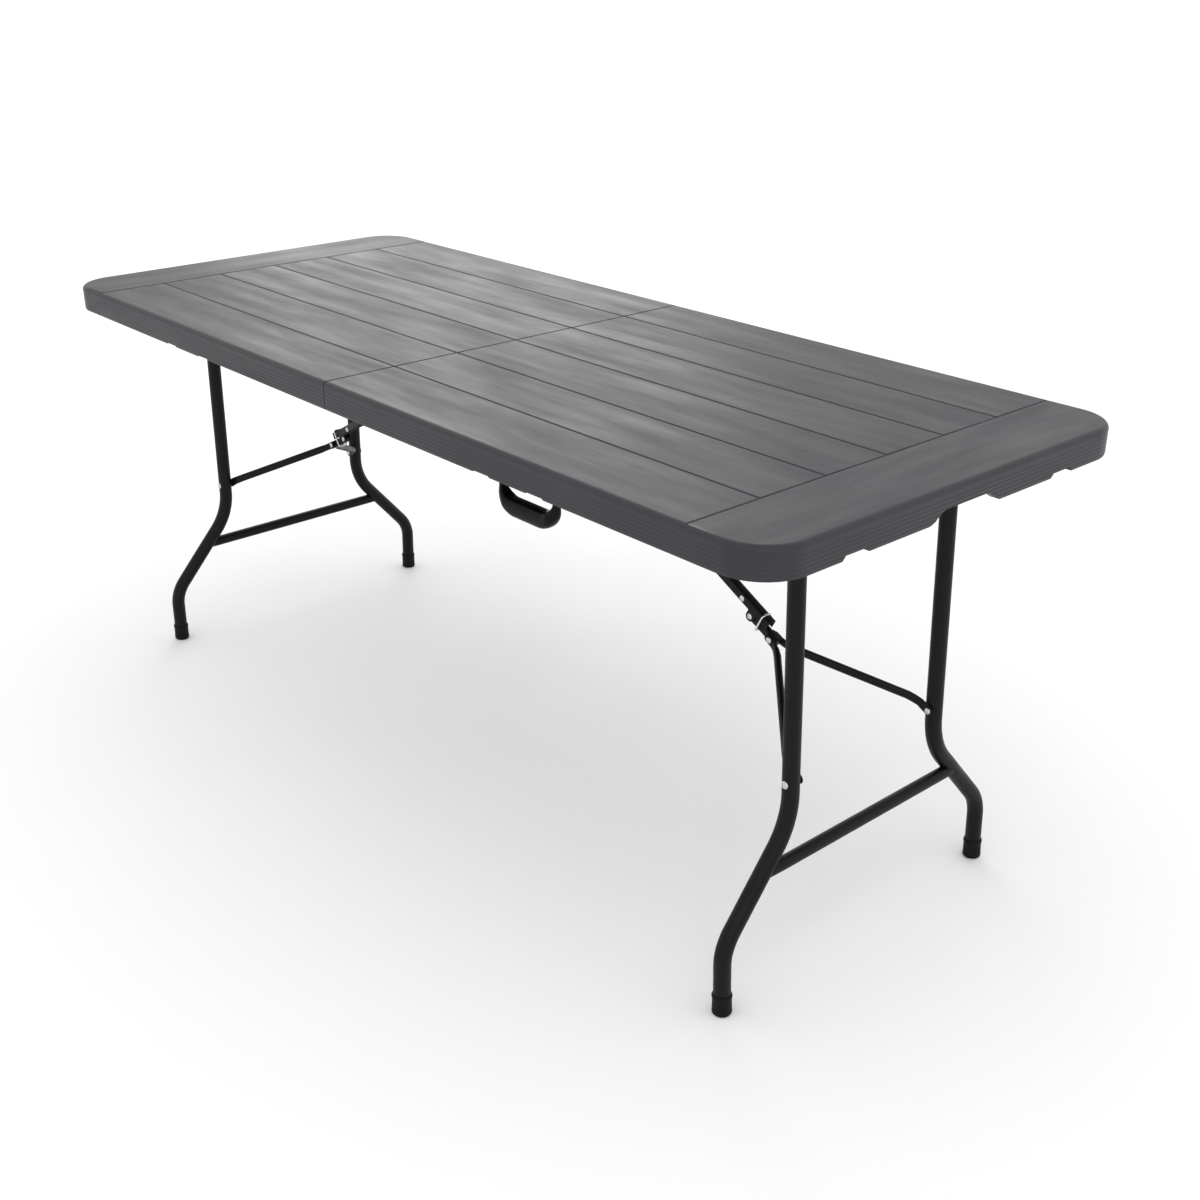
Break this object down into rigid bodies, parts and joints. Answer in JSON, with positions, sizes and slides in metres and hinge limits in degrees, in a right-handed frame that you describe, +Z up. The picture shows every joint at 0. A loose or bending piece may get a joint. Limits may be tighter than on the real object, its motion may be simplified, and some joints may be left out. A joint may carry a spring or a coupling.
{
  "type": "folding table",
  "caption": "Long folding table that closes in half like a case, with a hollow plank-pattern plastic top, splayed steel legs, wishbone braces and a carry handle.",
  "frame": {"origin": "on the floor under the middle of the open table", "axes": "+X towards the half that carries the handle, -Y towards the long side with the handle, +Z up; the table is longest along X"},
  "size_m": [1.8, 0.74, 0.74],
  "materials": {
    "grey_moulding": "charcoal grey blow-moulded polyethylene, plank pattern with fine grain, soft sheen",
    "black_plastic": "black moulded plastic, slightly textured",
    "black_steel": "black powder coat, satin",
    "zinc": "bright zinc plated steel",
    "ring_wire": "chromed wire"
  },
  "bodies": {
    "left_half": {"left_top_panel": "grey_moulding", "left_front_rail": "black_steel", "left_rear_rail": "black_steel", "left_brace_bar": "black_steel", "left_rail_screws": "zinc", "left_leg_bushes": "black_plastic", "front_left_hinge_leaf": "black_steel", "rear_left_hinge_leaf": "black_steel", "left_hinge_rivets": "zinc", "front_hinge_pin": "zinc", "rear_hinge_pin": "zinc"},
    "right_half": {"right_top_panel": "grey_moulding", "right_front_rail": "black_steel", "right_rear_rail": "black_steel", "right_brace_bar": "black_steel", "right_rail_screws": "zinc", "right_leg_bushes": "black_plastic", "front_right_hinge_leaf": "black_steel", "rear_right_hinge_leaf": "black_steel", "right_hinge_rivets": "zinc", "handle_brackets": "black_steel", "handle_screws": "zinc"},
    "handle": {"carry_handle": "black_plastic"},
    "left_leg_frame": {"left_leg_pivot_tube": "black_steel", "left_front_leg": "black_steel", "left_rear_leg": "black_steel", "left_cross_bar": "black_steel", "left_front_foot": "black_plastic", "left_rear_foot": "black_plastic", "left_leg_rivets": "zinc"},
    "left_link": {"left_brace_link": "black_steel", "left_link_rivets": "zinc"},
    "left_ring": {"left_lock_ring": "ring_wire"},
    "left_wishbone": {"left_front_brace_tube": "black_steel", "left_rear_brace_tube": "black_steel", "left_brace_apex": "black_steel", "left_brace_rivets": "zinc"},
    "right_leg_frame": {"right_leg_pivot_tube": "black_steel", "right_front_leg": "black_steel", "right_rear_leg": "black_steel", "right_cross_bar": "black_steel", "right_front_foot": "black_plastic", "right_rear_foot": "black_plastic", "right_leg_rivets": "zinc"},
    "right_link": {"right_brace_link": "black_steel", "right_link_rivets": "zinc"},
    "right_ring": {"right_lock_ring": "ring_wire"},
    "right_wishbone": {"right_front_brace_tube": "black_steel", "right_rear_brace_tube": "black_steel", "right_brace_apex": "black_steel", "right_brace_rivets": "zinc"}
  },
  "joints": [
    {"name": "centre_fold", "type": "hinge", "parent": "left_half", "child": "right_half", "pos_m": [0, 0, 0.692], "axis": [0, 1, 0], "range_deg": [0, 90]},
    {"name": "handle_swing", "type": "hinge", "parent": "right_half", "child": "handle", "pos_m": [0.441, -0.331, 0.69], "axis": [1, 0, 0], "range_deg": [-70, 88]},
    {"name": "left_leg_fold", "type": "hinge", "parent": "left_half", "child": "left_leg_frame", "pos_m": [-0.762, 0, 0.7095], "axis": [0, -1, 0], "range_deg": [0, 92]},
    {"name": "left_link_swing", "type": "hinge", "parent": "left_half", "child": "left_link", "pos_m": [-0.035, 0, 0.708], "axis": [0, -1, 0], "range_deg": [-28.39, 0]},
    {"name": "left_ring_slide", "type": "slide", "parent": "left_link", "child": "left_ring", "axis": [0.8819, 0, 0.4714], "range_m": [0, 0.2001]},
    {"name": "left_wishbone_turn", "type": "hinge", "parent": "left_link", "child": "left_wishbone", "pos_m": [-0.55063, 0, 0.43239], "axis": [0, -1, 0], "range_deg": [0, 180.02]},
    {"name": "right_leg_fold", "type": "hinge", "parent": "right_half", "child": "right_leg_frame", "pos_m": [0.762, 0, 0.7095], "axis": [0, 1, 0], "range_deg": [0, 92]},
    {"name": "right_link_swing", "type": "hinge", "parent": "right_half", "child": "right_link", "pos_m": [0.035, 0, 0.708], "axis": [0, 1, 0], "range_deg": [-28.39, 0]},
    {"name": "right_ring_slide", "type": "slide", "parent": "right_link", "child": "right_ring", "axis": [-0.8819, 0, 0.4714], "range_m": [0, 0.2001]},
    {"name": "right_wishbone_turn", "type": "hinge", "parent": "right_link", "child": "right_wishbone", "pos_m": [0.55063, 0, 0.43239], "axis": [0, 1, 0], "range_deg": [0, 180.02]}
  ],
  "couplings": [
    {"joint": "left_link_swing", "follows": "left_leg_fold", "ratio": -0.30854},
    {"joint": "left_ring_slide", "follows": "left_leg_fold", "m_per_rad": 0.12456},
    {"joint": "left_wishbone_turn", "follows": "left_leg_fold", "ratio": 1.9565},
    {"joint": "right_link_swing", "follows": "right_leg_fold", "ratio": -0.30854},
    {"joint": "right_ring_slide", "follows": "right_leg_fold", "m_per_rad": 0.12456},
    {"joint": "right_wishbone_turn", "follows": "right_leg_fold", "ratio": 1.9565}
  ]
}
